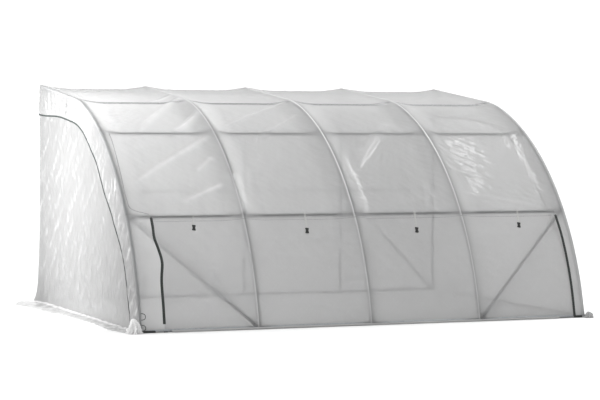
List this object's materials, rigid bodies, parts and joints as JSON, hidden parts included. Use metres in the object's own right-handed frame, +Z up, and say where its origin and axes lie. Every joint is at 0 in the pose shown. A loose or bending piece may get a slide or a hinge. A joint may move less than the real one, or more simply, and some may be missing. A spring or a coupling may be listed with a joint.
{
  "type": "lean-to film greenhouse",
  "caption": "Lean-to greenhouse: bent tube ribs on upright back posts, tied by purlins, under a translucent film cover with a zipped roll-up front and zipped ends.",
  "frame": {"origin": "middle of the footprint, on the ground", "axes": "+X along the length to the right seen from the front, -Y towards the curved front, +Y towards the upright back, +Z up"},
  "size_m": [4.4816, 3.0318, 1.9999],
  "materials": {
    "tube": "galvanised, dull",
    "fitting": "galvanised, dull",
    "film": "translucent glossy film",
    "zip": "woven tape with moulded teeth",
    "webbing": "woven strap",
    "toggle": "moulded"
  },
  "bodies": {
    "root": {"rib_1": "tube", "rib_2": "tube", "rib_3": "tube", "rib_4": "tube", "rib_5": "tube", "back_post_1": "tube", "back_post_2": "tube", "back_post_3": "tube", "back_post_4": "tube", "back_post_5": "tube", "ridge_rail": "tube", "upper_purlin": "tube", "roof_purlin": "tube", "eaves_purlin": "tube", "front_ground_rail": "tube", "back_ground_rail": "tube", "back_middle_rail": "tube", "front_brace_left": "tube", "front_brace_right": "tube", "back_brace_left": "tube", "back_brace_right": "tube", "corner_elbows": "fitting", "rib_sleeves": "fitting", "ground_tees": "fitting", "rail_clamps": "fitting", "brace_clamps": "fitting", "roof_film": "film", "front_panel": "film", "front_strip_left": "film", "front_strip_right": "film", "back_film": "film", "left_end_return": "film", "left_end_panel": "film", "right_end_return": "film", "right_end_panel": "film", "front_zip_left": "zip", "front_zip_right": "zip", "left_end_zip": "zip", "right_end_zip": "zip", "left_skirt": "film", "right_skirt": "film", "front_hem": "film", "tie_straps": "webbing", "tie_toggles": "toggle", "end_tie_straps": "webbing"}
  },
  "joints": []
}
